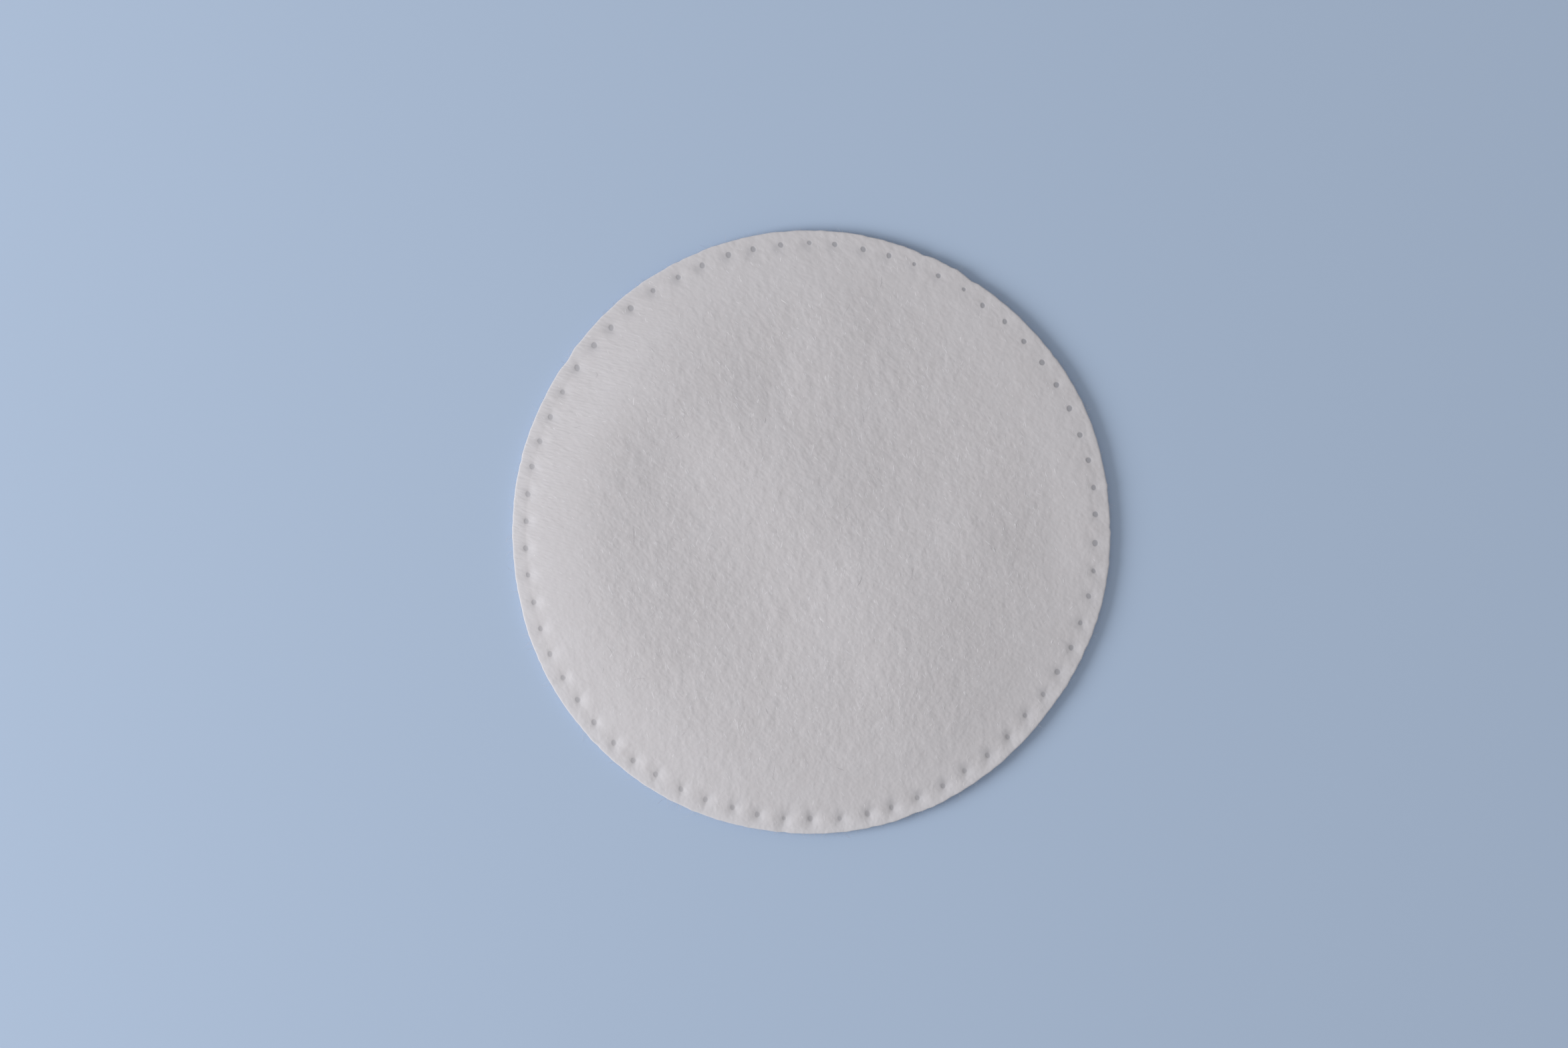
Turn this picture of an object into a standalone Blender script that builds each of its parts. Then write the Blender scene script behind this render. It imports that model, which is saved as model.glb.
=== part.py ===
"""Round cotton pad: one disc of brushed cotton fibre, pressed and cut in a single piece.

A half-section is turned into a blank disc. The blank is then given the form that stretching and
laying leave on the real web: a slightly oval cut edge, a shoulder that is steeper on one side than
on the other, and low hills and hollows in the face. Cutters shaped like the crimping tools make the
ring of pits last: flared pins from above, studs from below, and a roller for one crease at the rim.
Metres, +Z up. The underside lies on Z = 0, and the middle of the pad's box is at X = Y = 0.
"""

import math

import bmesh
import bpy
import numpy as np

# Cut disc
PAD_DIAMETER = 0.0580
MIDDLE_THICKNESS = 0.0021
RIM_THICKNESS = 0.0011
EDGE_ROUNDING = 0.00015

# Shoulder: from the crimp line the web rises to its middle thickness over this width, which is
# longer by the skew on the +X side and shorter by it on the -X side
SHOULDER_WIDTH = 0.0158
SHOULDER_SKEW = 0.0082
SHOULDER_FULLNESS = 1.67

# Crimp line: a ring of pits pressed in by pins, a little way inside the cut edge
PIT_COUNT = 66
FIRST_PIT_ANGLE = math.radians(3.2)
CRIMP_INSET = 0.00135
CRIMP_SHIFT = 0.00009
CRIMP_SHIFT_ANGLE = math.radians(136)
PIT_DIAMETER = 0.00050
PIT_FLOOR = 0.00075
PIT_DRAFT = math.radians(12)

# Dimples round the pits: the share of a pin's travel by which the web beside it is drawn down.
# A pin's cone ends this margin outside its dimple, clear above the face
DIMPLE_RADIUS = 0.00070
DIMPLE_SHARE = 0.38
COLLAR_MARGIN = 0.0006

# Studs under the crimp line press shallower pits into the underside
STUD_DIAMETER = 0.00050
STUD_HEIGHT = 0.00015
STUD_DRAFT = math.radians(50)

# Crease: a fold that runs from one pit out over the rim
CREASE_PIT = 48
CREASE_DEPTH = 0.00010
CREASE_ROLLER_RADIUS = 0.0006

# Stretch of the cut outline: (lobes, height, angle of the first lobe)
OUTLINE_WAVES = (
    (2, 0.00014, math.radians(74)),
    (3, 0.00009, math.radians(-1)),
    (4, 0.00004, math.radians(17)),
)

# Hills and hollows of the laid web: (across, up, spread, height)
HILLS = (
    (-0.0138, 0.0111, 0.0058, 0.00042),
    (-0.0016, 0.0035, 0.0046, 0.00048),
    (0.0089, -0.0126, 0.0068, 0.00058),
    (-0.0132, 0.0073, 0.0033, -0.00040),
    (-0.0045, -0.0063, 0.0055, -0.00027),
    (0.0028, 0.0204, 0.0031, 0.00019),
    (-0.0069, -0.0183, 0.0081, 0.00023),
    (0.0253, 0.0000, 0.0036, -0.00022),
    (-0.0077, 0.0003, 0.0076, -0.00038),
    (0.0097, 0.0075, 0.0080, -0.00042),
    (-0.0031, 0.0140, 0.0024, -0.00022),
    (0.0041, -0.0135, 0.0020, -0.00016),
    (0.0156, 0.0000, 0.0022, 0.00015),
)
HILL_MARGIN = 0.0050

# Fineness of the mesh
COLUMNS = 108
FACE_ROWS = 12
ROW_CROWDING = 1.4
RIM_ROWS = 2
EDGE_STEPS = 2
PIN_SIDES = 8
STUD_SIDES = 6
ROLLER_SIDES = 20
CUTTER_REACH = 0.0015
SMOOTH_ANGLE = math.radians(50)

PAD_RADIUS = PAD_DIAMETER / 2
CRIMP_RADIUS = PAD_RADIUS - CRIMP_INSET
DIMPLE_DEPTH = DIMPLE_SHARE * (RIM_THICKNESS - PIT_FLOOR)
ROUNDING = min(EDGE_ROUNDING, 0.45 * RIM_THICKNESS)


def eased(share):
    """Goes from 0 to 1 with level ends."""
    share = np.clip(share, 0, 1)
    return share * share * (3 - 2 * share)


def face_height(radius, skew=0.0):
    """Height of the upper face at a radius, with the shoulder made wider or narrower by the skew."""
    width = np.minimum(SHOULDER_WIDTH + skew, CRIMP_RADIUS)
    inward = np.clip((CRIMP_RADIUS - radius) / width, 0, 1)
    pillow = (MIDDLE_THICKNESS - RIM_THICKNESS) * (1 - (1 - inward) ** SHOULDER_FULLNESS)
    return RIM_THICKNESS + pillow


def half_section():
    """Points (radius, height) of the section, from the middle of the upper face round to the underside's."""
    bend = PAD_RADIUS - ROUNDING
    rows = np.arange(FACE_ROWS) / FACE_ROWS
    inner = CRIMP_RADIUS * (1 - (1 - rows) ** ROW_CROWDING)
    rim = CRIMP_RADIUS + (bend - CRIMP_RADIUS) * np.arange(RIM_ROWS) / RIM_ROWS
    face = [(radius, float(face_height(radius))) for radius in (*inner, *rim)]
    turns = [math.pi / 2 * step / EDGE_STEPS for step in range(EDGE_STEPS + 1)]
    top_edge = [
        (bend + ROUNDING * math.sin(turn), RIM_THICKNESS - ROUNDING * (1 - math.cos(turn)))
        for turn in turns
    ]
    bottom_edge = [
        (bend + ROUNDING * math.cos(turn), ROUNDING * (1 - math.sin(turn))) for turn in turns
    ]
    return face + top_edge + bottom_edge + [(0.0, 0.0)]


def turned(name, section, steps):
    """A closed mesh made by turning a section, listed from its top down its outer side, round the Z axis."""
    profile = bpy.data.meshes.new("section")
    points = [(radius, 0.0, height) for radius, height in section]
    profile.from_pydata(points, [(i, i + 1) for i in range(len(points) - 1)], [])
    turning = bpy.data.objects.new("turning", profile)
    bpy.context.scene.collection.objects.link(turning)
    screw = turning.modifiers.new("turn", "SCREW")
    screw.axis = "Z"
    screw.steps = screw.render_steps = steps
    screw.use_merge_vertices = True
    screw.merge_threshold = 1e-6

    graph = bpy.context.evaluated_depsgraph_get()
    mesh = bpy.data.meshes.new_from_object(turning.evaluated_get(graph))
    mesh.name = name
    bpy.data.objects.remove(turning, do_unlink=True)
    bpy.data.meshes.remove(profile)
    return mesh


def stretched(radius, angle):
    """X and Y of a point of the blank once the disc is stretched and its crimp ring sits off its middle."""
    waves = sum(height * np.cos(lobes * (angle - first)) for lobes, height, first in OUTLINE_WAVES)
    reach = radius * (1 + waves / PAD_RADIUS)
    shift = CRIMP_SHIFT * (1 - eased((radius - CRIMP_RADIUS) / CRIMP_INSET))
    x = reach * np.cos(angle) + shift * math.cos(CRIMP_SHIFT_ANGLE)
    y = reach * np.sin(angle) + shift * math.sin(CRIMP_SHIFT_ANGLE)
    return x, y


def hill_lift(x, y, radius):
    """The sum of the hills and hollows, each a round swell, dying away towards the crimp line."""
    lift = np.zeros_like(x)
    for across, up, spread, height in HILLS:
        lift += height * np.exp(-((x - across) ** 2 + (y - up) ** 2) / (2 * spread**2))
    return lift * eased((CRIMP_RADIUS - radius) / HILL_MARGIN)


def lay(mesh):
    """Moves the blank's points to the form of the stretched and laid web. Returns the middle of its box."""
    points = np.empty(len(mesh.vertices) * 3, np.float32)
    mesh.vertices.foreach_get("co", points)
    x, y, height = points.reshape(-1, 3).astype(float).T
    radius, angle = np.hypot(x, y), np.arctan2(y, x)
    x, y = stretched(radius, angle)
    skewed = face_height(radius, SHOULDER_SKEW * np.cos(angle)) - face_height(radius)
    share = np.clip(height / face_height(radius), 0, 1)
    height = height + share * (skewed + hill_lift(x, y, radius))

    middle = np.array([x.min() + x.max(), y.min() + y.max()]) / 2
    moved = np.stack([x - middle[0], y - middle[1], height], axis=1)
    mesh.vertices.foreach_set("co", moved.astype(np.float32).ravel())
    mesh.update()
    return middle


def cotton():
    """Brushed cotton: matt, near white, with a little soft sheen."""
    material = bpy.data.materials.new("brushed cotton")
    material.use_nodes = True
    shader = material.node_tree.nodes["Principled BSDF"]
    shader.inputs["Base Color"].default_value = (0.56, 0.54, 0.56, 1.0)
    shader.inputs["Roughness"].default_value = 0.95
    shader.inputs["Metallic"].default_value = 0.0
    shader.inputs["Sheen Weight"].default_value = 0.3
    return material


def new_collection(name):
    collection = bpy.data.collections.new(name)
    bpy.context.scene.collection.children.link(collection)
    return collection


def add_cutter(tools, name, mesh, location):
    """Puts one cutter in the tools' collection, out of the render."""
    cutter = bpy.data.objects.new(name, mesh)
    cutter.location = location
    cutter.hide_render = True
    cutter.display_type = "WIRE"
    tools.objects.link(cutter)
    return cutter


def crimp_pin():
    """A pin turned to a flat tip, a slightly tapered shank and a wide cone that draws the dimple down."""
    tip = PIT_DIAMETER / 2
    dimple_floor = RIM_THICKNESS - DIMPLE_DEPTH
    mouth = tip + (dimple_floor - PIT_FLOOR) * math.tan(PIT_DRAFT)
    flare = DIMPLE_DEPTH / (DIMPLE_RADIUS - mouth)
    collar = DIMPLE_RADIUS + COLLAR_MARGIN
    collar_foot = dimple_floor + flare * (collar - mouth)
    section = [
        (0.0, collar_foot + CUTTER_REACH),
        (collar, collar_foot + CUTTER_REACH),
        (collar, collar_foot),
        (mouth, dimple_floor),
        (tip, PIT_FLOOR),
        (0.0, PIT_FLOOR),
    ]
    return turned("crimp_pin", section, PIN_SIDES)


def stud():
    """A short tapered stud, reaching up from below the underside."""
    mesh = bpy.data.meshes.new("stud")
    shape = bmesh.new()
    height = STUD_HEIGHT + CUTTER_REACH
    tip = STUD_DIAMETER / 2
    foot = tip + height * math.tan(STUD_DRAFT)
    bmesh.ops.create_cone(
        shape, cap_ends=True, segments=STUD_SIDES, radius1=foot, radius2=tip, depth=height
    )
    bmesh.ops.translate(shape, vec=(0, 0, STUD_HEIGHT - height / 2), verts=shape.verts)
    shape.to_mesh(mesh)
    shape.free()
    return mesh


def pit_angle(number):
    """Angle of a pit on the crimp line, counted round from the +X side."""
    return FIRST_PIT_ANGLE + 2 * math.pi * number / PIT_COUNT


def add_crease_roller(tools, place):
    """A level cylinder that lies along a radius, from one pit's middle out past the cut edge."""
    mesh = bpy.data.meshes.new("crease_roller")
    shape = bmesh.new()
    length = CRIMP_INSET + CUTTER_REACH
    bmesh.ops.create_cone(
        shape,
        cap_ends=True,
        segments=ROLLER_SIDES,
        radius1=CREASE_ROLLER_RADIUS,
        radius2=CREASE_ROLLER_RADIUS,
        depth=length,
    )
    bmesh.ops.translate(shape, vec=(0, 0, length / 2), verts=shape.verts)
    shape.to_mesh(mesh)
    shape.free()
    axis_height = RIM_THICKNESS - CREASE_DEPTH + CREASE_ROLLER_RADIUS
    roller = add_cutter(tools, "crease_roller", mesh, (place[0], place[1], axis_height))
    roller.rotation_euler = (0, math.pi / 2, pit_angle(CREASE_PIT))


def crimping_tools(middle):
    """The cutters: a pin above and a stud below each pit, and the crease's roller."""
    tools = new_collection("crimping tools")
    pin_mesh, stud_mesh = crimp_pin(), stud()
    for number in range(PIT_COUNT):
        x, y = stretched(CRIMP_RADIUS, pit_angle(number))
        place = (x - middle[0], y - middle[1], 0.0)
        add_cutter(tools, f"crimp_pin_{number + 1}", pin_mesh, place)
        add_cutter(tools, f"stud_{number + 1}", stud_mesh, place)
        if number == CREASE_PIT:
            add_crease_roller(tools, place)
    return tools


def build_pad():
    """The pad: the turned blank, laid to its form, with its pits and crease cut by the tools."""
    mesh = turned("cotton_pad", half_section(), COLUMNS)
    middle = lay(mesh)
    mesh.materials.append(cotton())
    pad = bpy.data.objects.new("cotton_pad", mesh)
    new_collection("cotton pad").objects.link(pad)
    crimping = pad.modifiers.new("crimping", "BOOLEAN")
    crimping.operation = "DIFFERENCE"
    crimping.solver = "EXACT"
    crimping.operand_type = "COLLECTION"
    crimping.collection = crimping_tools(middle)
    mesh.shade_smooth()
    mesh.set_sharp_from_angle(angle=SMOOTH_ANGLE)
    return pad


def main():
    for old in list(bpy.data.objects):
        bpy.data.objects.remove(old, do_unlink=True)
    build_pad()


main()
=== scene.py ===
"""Cotton pad: a round pad of brushed cotton fibre, lying on a plain floor in soft light.

The web is one closed surface: a pillowed face with a felted nap, a ring of crimp pits in soft dimples, a
pressed rim with a cut edge, and a flat underside. Loose fibres lie on the face and stand out of the edge.
Metres, +Z up. The pad rests on Z = 0, in the place that the frame gives.
"""

import math

import bpy
import numpy as np
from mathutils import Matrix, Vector


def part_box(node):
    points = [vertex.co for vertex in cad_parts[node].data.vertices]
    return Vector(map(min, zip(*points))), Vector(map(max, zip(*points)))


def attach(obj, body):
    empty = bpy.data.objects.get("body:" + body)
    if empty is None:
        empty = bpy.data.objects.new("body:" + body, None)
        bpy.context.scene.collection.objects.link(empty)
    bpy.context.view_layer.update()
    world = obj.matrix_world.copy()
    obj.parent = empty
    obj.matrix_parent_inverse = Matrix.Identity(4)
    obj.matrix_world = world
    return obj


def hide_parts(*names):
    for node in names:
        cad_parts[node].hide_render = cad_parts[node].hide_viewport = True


bl_info = {
    "name": "Cotton Pad",
    "version": (1, 0, 0),
    "blender": (4, 5, 0),
    "location": "View3D > Sidebar > Cotton Pad",
    "description": "Builds a round brushed cotton pad, its loose fibres and a plain studio",
    "category": "Add Mesh",
}

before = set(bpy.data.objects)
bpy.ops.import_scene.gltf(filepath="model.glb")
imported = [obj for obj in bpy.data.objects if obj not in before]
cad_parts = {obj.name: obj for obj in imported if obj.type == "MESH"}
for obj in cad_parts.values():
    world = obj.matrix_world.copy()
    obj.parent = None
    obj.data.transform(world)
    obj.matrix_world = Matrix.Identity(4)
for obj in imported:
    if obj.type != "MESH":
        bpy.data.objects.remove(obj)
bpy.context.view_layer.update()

# Sizes that the frame gives
PAD_LOW, PAD_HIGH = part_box("cotton_pad")
MEAN_DIAMETER = (PAD_HIGH.x - PAD_LOW.x + PAD_HIGH.y - PAD_LOW.y) / 2

# Places measured on the photograph, in its pixels
PHOTO_WIDTH = 2346
PHOTO_HEIGHT = 1568
PAD_MIDDLE_ACROSS = 1212.7
PAD_MIDDLE_DOWN = 796.5
PAD_DIAMETER_IN_PHOTO = 897.4

# Stretch of the cut outline: (lobes, height, angle of the first lobe in degrees), and the steps in which its
# box is measured
OUTLINE_WAVES = (
    (2, 0.00014, 74),
    (3, 0.00009, -1),
    (4, 0.00004, 17),
    (5, 0.000023, 12),
    (6, 0.000022, 41),
    (7, 0.000022, 31),
    (8, 0.000024, 29),
    (10, 0.000016, 23),
)
OUTLINE_STEP = math.radians(0.25)

# Marks of the cutting die on the edge: (angle in degrees, height, width along the edge), and the spread and
# number of its small waves
CUT_MARKS = (
    (57.8, -0.00011, 0.0006),
    (60.6, 0.00010, 0.0006),
    (64.8, 0.00007, 0.0008),
    (67.6, -0.00008, 0.0006),
    (144.6, -0.00009, 0.0007),
    (265.0, -0.00006, 0.0004),
    (290.5, -0.00008, 0.0011),
)
EDGE_UNEVENNESS = 0.000022
EDGE_UNEVENNESS_STEPS = 360

# Hills and hollows of the laid web: (across, up, spread, height), the margin over which they die away, and
# the power that makes the shoulder full
HILLS = (
    (-0.0138, 0.0111, 0.0058, 0.00042),
    (-0.0016, 0.0035, 0.0046, 0.00048),
    (0.0089, -0.0126, 0.0068, 0.00058),
    (-0.0132, 0.0073, 0.0033, -0.00040),
    (-0.0045, -0.0063, 0.0055, -0.00027),
    (0.0028, 0.0204, 0.0031, 0.00019),
    (-0.0069, -0.0183, 0.0081, 0.00023),
    (0.0253, 0.0000, 0.0036, -0.00022),
    (-0.0077, 0.0003, 0.0076, -0.00038),
    (0.0097, 0.0075, 0.0080, -0.00042),
    (-0.0031, 0.0140, 0.0024, -0.00022),
    (0.0041, -0.0135, 0.0020, -0.00016),
    (0.0156, 0.0000, 0.0022, 0.00015),
)
HILL_MARGIN = 0.0050
SHOULDER_FULLNESS = 1.67

# Crimp ring: its place, and the pits' drift round it
FIRST_PIT_ANGLE = math.radians(3.2)
CRIMP_SHIFT = 0.00009
CRIMP_SHIFT_ANGLE = math.radians(113)
PIT_DRIFT = 0.00010
PIT_DRIFT_ANGLE = math.radians(20)
PIT_WANDER = 0.00007

# Pits: spread and most of their size and depth, the shape of their floors, the small ones, and the crease
PIT_SIZE_SPREAD, PIT_SIZE_MOST = 0.11, 0.2
PIT_DEPTH_SPREAD, PIT_DEPTH_MOST = 0.15, 0.3
PIT_OUT_OF_ROUND = 0.09
PIT_KNOBBLINESS = 0.6
PIT_LENGTHENING = 0.08
PIT_LONG_ANGLE = math.radians(112)
PIT_WALL = 0.00010
SMALL_PITS = (10, 12, 48)
SMALL_PIT_SIZE = 0.65
CREASE_PIT = 48
CREASE_DEPTH = 0.00008
CREASE_WIDTH = 0.00042

# Rim and dimples: where the rim is loosest and on the lamp's side, which sets its droop and its painted
# light,
# # how far the pits' painted shade fades there, where the dimples are deepest, and how far they lean to one
# side
RIM_DROOP = 0.00016
DROOP_LEAST = 0.5
LOOSE_LIT_ANGLE = math.radians(228)
LOOSE_LIT_PIT_FADING = 0.55
DIMPLE_LEAN = 0.65
DIMPLE_TURN = 0.00042
DIMPLE_DEEPEST = math.radians(258)
DIMPLE_LEAST = 0.12
LIT_SIDE_LEAN = 0.5

# Painted light and shade in the colour: paler on the lamp's side of the rim, a painted glow towards the rim,
# # a painted highlight on each pit's lit side, and painted shade, with some packed fibre, on the pits' inner
# side
LIT_RIM_PALENESS = 0.7
RIM_GLOW_PALENESS = 0.15
PIT_HIGHLIGHT_PALENESS = 0.68
PIT_HIGHLIGHT_START = 0.0004
PIT_HIGHLIGHT_REACH = 0.00092
PACKED_SHADE_SHARE = 0.36
PACKED_SHADE_MOST = math.radians(125)
PACKED_SHADE_SHIFT = 0.00034
PACKED_SHADE_REACH = 0.00058

# Combing of the fibres: their lean in the middle of the face, and how it changes over the pad. Over the
# left shoulder they turn outwards, from the start over the fade, where the cosine exceeds the least.
COMB_ANGLE = math.radians(102)
COMB_TURN_UP = math.radians(0.40) / 0.001
COMB_TURN_ACROSS = math.radians(-0.20) / 0.001
SHOULDER_COMB_TURN = math.radians(36)
SHOULDER_COMB_MIDDLE = math.radians(160)
SHOULDER_COMB_START = 0.0185
SHOULDER_COMB_FADE = 0.0075
SHOULDER_COMB_LEAST = 0.62

# Felting of the web's surface: the field's tile, the size of a tuft, where and how far the rim is smoother,
# and how much rougher the left shoulder is
FELT_CELLS = 720
FELT_TILE = 0.072
TUFT_WIDTH = 0.00020
TUFT_LENGTH = 0.00026
RIM_START = 0.0195
RIM_FADE = 0.0065
RIM_SMOOTHNESS = 0.35
STREAK_SMOOTHNESS = 0.25
SHOULDER_ROUGHENING = 0.7

# Loose fibres on the face: how far they keep from the pits' middles, how far each kind rises, the spread of
# their headings round the combing, their height as a share of their width, how bare of them the rim is, the
# spreads of their bends and sizes, and the thickness of their tips as a share
PIT_CLEARANCE = 0.00042
TUFT_RISE = 0.000001
TUFT_SCATTER = 0.35
TUFT_FLATNESS = 0.08
LYING_RISE = 0.000002
LYING_SCATTER = 0.35
LYING_FLATNESS = 0.12
RAISED_SCATTER = 0.60
RIM_BARENESS = 0.7
BEND_SPREAD = 0.5
LENGTH_SPREAD = 0.35
RISE_SPREAD = 0.5
THICKNESS_SPREAD = 0.3
TIP_THICKNESS = 0.35

# Loose fibres at the edge: how deep they are rooted, the spread of their length and how many usual lengths
# they have at most, their splay and its most, their curl, their levels on the wall, their lift and sag, and
# the spread and taper of their thickness
EDGE_ROOT_DEPTH = 0.00006
EDGE_LENGTH_SPREAD, EDGE_LENGTH_MOST = 0.8, 6
EDGE_SPLAY, EDGE_SPLAY_MOST = 0.7, 1.3
EDGE_CURL = 1.2
EDGE_LEVELS = (0.2, 0.9)
EDGE_LIFT, EDGE_SAG = 0.35, 0.1
EDGE_THICKNESS_SPREAD = 0.2
EDGE_TAPER = 0.5

# Underside: rows round the crimp line, the inset of the flat middle, and the dents of the studs
UNDERSIDE_ROWS = (0.0009, 0.00045, 0.00022, 0, -0.00022, -0.00045, -0.0009)
UNDERSIDE_INSET = 0.0014
STUD_DENT = 0.00012
STUD_REACH = 0.00035
STUD_SHARPNESS = 4

# Maps for baking: middle and radius of the two discs, and the empty margin of a fibre's cell
FACE_DISC = (0.425, 0.420)
UNDERSIDE_DISC = (0.838, 0.155)
CELL_MARGIN = 0.12

# Light and camera
LAMP_DIRECTION = math.radians(187)
LAMP_HEIGHT = math.radians(29.5)
SENSOR_WIDTH = 36.0
NEAREST_SEEN = 0.01

# Brushed streaks: half the angle at which two sets of them cross, how far and how finely they sway, their
# finer detail, and how far apart in the noise the two sets are taken
STREAK_CROSSING = math.radians(25)
STREAK_SWAY = 1.4
SWAY_SCALE, SWAY_DETAIL = 0.45, 1.0
STREAK_DETAIL, STREAK_DETAIL_SHARE = 0.3, 0.5
STREAK_SETS_APART = 7.3

# Colour and roughness of the fibre: the mottling's noise, how far mottling, relief and a fibre's own tone
# lean to the pale fibre, the roughness's noise, and the shader's refraction and roughness of its sheen
MOTTLE_SCALE, MOTTLE_DETAIL, MOTTLE_ROUGHNESS = 260.0, 4.0, 0.6
MOTTLE_LEAN, HEIGHT_LEAN, LEAN_START = 0.7, 0.4, 0.3
TONE_SPREAD = 2.0
ROUGHNESS_SCALE, ROUGHNESS_DETAIL, ROUGHNESS_CHANGE = 900.0, 2.0, 0.2
COTTON_IOR = 1.3
SHEEN_ROUGHNESS = 0.6

# Floor: its roughness, and the noise and darkness of its clouds
FLOOR_ROUGHNESS = 0.8
CLOUD_SCALE, CLOUD_DETAIL, CLOUD_DARKNESS = 12.0, 2.0, 0.985

# Fineness of the mesh: steps from a pit's middle to half-way to the next and those over its floor, rings of
# the two discs, steps round the edge's bends and down its wall, the width of the faces that join the disc to
# the crimps, and how closely the rings crowd round a pit
PIT_STEPS = 12
FLOOR_STEPS = 4
FACE_RINGS = 99
UNDERSIDE_RINGS = 33
EDGE_STEPS = 3
WALL_STEPS = 3
JOIN_WIDTH = 0.0002
RING_CROWDING = 0.45

# Seeds of the random draws
EDGE_SEED = 3
FELT_SEED = 5
PIT_SEED = 11
PIT_SHAPE_SEED = 12
FACE_FIBRE_SEED = 21
EDGE_FIBRE_SEED = 31

FULL_TURN = 2 * math.pi


def shown(kind, **settings):
    """A maker of properties that the sidebar shows, each with a name, a description and a default."""

    def make(name, description, default, **limits):
        return kind(name=name, description=description, default=default, **settings, **limits)

    return make


metres = shown(bpy.props.FloatProperty, unit="LENGTH", precision=5)
share = shown(bpy.props.FloatProperty, min=0, max=1, subtype="FACTOR")
colour = shown(bpy.props.FloatVectorProperty, min=0, max=1, subtype="COLOR")
whole = shown(bpy.props.IntProperty)


class PadSizes(bpy.types.PropertyGroup):
    """Sizes of the pressed and crimped web."""

    diameter: metres("Diameter", "Mean diameter of the cut edge", MEAN_DIAMETER)
    middle_thickness: metres("Middle thickness", "Thickness of the face inside the shoulder", 0.0021)
    rim_thickness: metres("Rim thickness", "Thickness of the web at the crimp line", 0.0011)
    edge_rounding: metres("Edge rounding", "Radius of the soft cut edge", 0.00013)
    shoulder_width: metres("Shoulder width", "Width over which the face rises from the crimps", 0.0158)
    shoulder_skew: metres("Shoulder skew", "How much wider the shoulder is on the right", 0.0082)
    pit_count: whole("Pits", "Number of crimp pits round the rim", 66, min=50)
    crimp_inset: metres("Crimp inset", "From the cut edge to the middle of the pits", 0.00135)
    pit_diameter: metres("Pit diameter", "Width of a pit's floor", 0.00040)
    pit_depth: metres("Pit depth", "From the bottom of the dimple to the floor of the pit", 0.00002)
    dimple_radius: metres("Dimple radius", "Reach of the soft dimple round a pit", 0.00070)
    dimple_depth: metres("Dimple depth", "How far the web is drawn down at the deepest pits", 0.00013)
    felt_relief: metres("Felt relief", "Spread of the nap's height on the face", 0.000014)


class CottonFinish(bpy.types.PropertyGroup):
    """Colours and fine relief of the cotton."""

    cotton: colour("Cotton", "Colour of the pressed fibre", (0.535, 0.514, 0.531))
    pale_fibre: colour("Pale fibre", "Colour of the fibres that catch the light", (0.600, 0.587, 0.616))
    loose_fibre: colour("Loose fibre", "Colour of the palest loose fibres", (0.660, 0.640, 0.664))
    # The pits' floors are grey partly as pressed fibre and partly as painted shade in place of the pits'
    # shadow
    pressed: colour("Pressed fibre", "Colour of the fibre on the pits' floors", (0.352, 0.350, 0.378))
    streak_width: metres("Streak width", "Width of the brushed streaks", 0.00036)
    streak_length: metres("Streak length", "Length of the brushed streaks", 0.00040)
    streak_relief: metres("Streak relief", "Height of the brushed streaks", 0.000060)
    roughness: share("Roughness", "Roughness of the fibre", 0.92)
    sheen: share("Sheen", "Soft glow of the fibre at grazing angles", 0.25)


class FibreSizes(bpy.types.PropertyGroup):
    """Numbers and sizes of the loose fibres."""

    tuft_count: whole("Tufts", "Combed tufts, half sunk in the face", 3500, min=1)
    tuft_length: metres("Tuft length", "Usual length of a tuft", 0.00045)
    tuft_thickness: metres("Tuft thickness", "Usual width of a tuft", 0.00011)
    lying_count: whole("Lying fibres", "Fibres in each layer on the face", 9000, min=1)
    lying_layers: whole("Layers", "Layers of lying fibres", 1, min=1, max=3)
    lying_length: metres("Lying length", "Usual length of a lying fibre", 0.0005)
    lying_thickness: metres("Lying thickness", "Usual thickness of a lying fibre", 0.00003)
    raised_count: whole("Raised fibres", "Fine fibres that arch out of the face", 100, min=1)
    raised_length: metres("Raised length", "Usual length of a raised fibre", 0.0009)
    raised_height: metres("Raised height", "Usual height of a raised fibre's arch", 0.00004)
    edge_count: whole("Edge fibres", "Loose fibres along the cut edge", 1500, min=1)
    edge_length: metres("Edge length", "Usual length of a fibre at the cut edge", 0.00020)
    fine_thickness: metres("Fine thickness", "Thickness of a single loose fibre", 0.000014)


class StudioSizes(bpy.types.PropertyGroup):
    """Floor, light and camera."""

    floor: colour("Floor", "Colour of the plain floor", (0.40, 0.50, 0.66))
    background: colour("Background", "Colour that is seen past the floor", (0.62, 0.70, 0.80))
    floor_width: metres("Floor width", "Width of the square floor", 1.6)
    light_level: share("Light level", "Light on a level surface, where 1 is plain white", 0.912)
    key_share: share("Key share", "Part of the light that comes from the soft lamp", 0.46)
    key_distance: metres("Lamp distance", "From the pad to the soft lamp", 0.60)
    key_width: metres("Lamp width", "Width of the soft lamp", 0.38)
    camera_height: metres("Camera height", "From the floor to the camera", 0.60)


def eased(part):
    """Goes from 0 to 1 with level ends: three squares less two cubes of the part."""
    part = np.clip(part, 0, 1)
    return part * part * (3 - 2 * part)


def bell(distance, reach):
    """A bell curve: e to the power of minus the square of the distance over the reach."""
    return np.exp(-((distance / reach) ** 2))


def wrapped(angle):
    """An angle brought to between minus half a turn and half a turn."""
    return (angle + math.pi) % FULL_TURN - math.pi


def crimp_radius(sizes):
    """From the blank's middle to the line of the pits' middles."""
    return sizes.diameter / 2 - sizes.crimp_inset


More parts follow.
